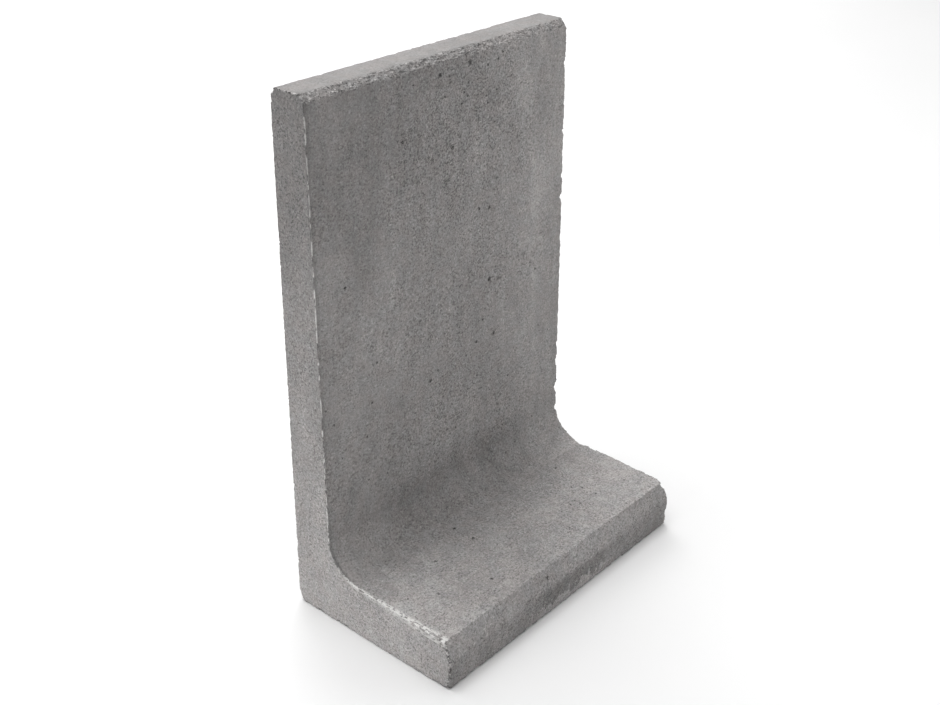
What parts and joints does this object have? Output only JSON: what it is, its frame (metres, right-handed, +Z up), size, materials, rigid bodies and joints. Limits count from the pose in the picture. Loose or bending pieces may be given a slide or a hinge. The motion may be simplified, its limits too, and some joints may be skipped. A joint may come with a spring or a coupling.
{
  "type": "concrete l-shaped retaining block",
  "caption": "Solid concrete block with an L-shaped profile, an upright wall and a flat foot joined by a rounded inner corner, that stands on its foot and holds back soil.",
  "frame": {"origin": "middle of the block's bounding box at ground level, under the foot", "axes": "+X along the row of blocks, +Y out of the wall's outer face, -Y out of the foot's toe, +Z up"},
  "size_m": [0.4, 0.23, 0.6],
  "materials": {
    "concrete": "matte"
  },
  "bodies": {
    "root": {"l_block": "concrete"}
  },
  "joints": []
}
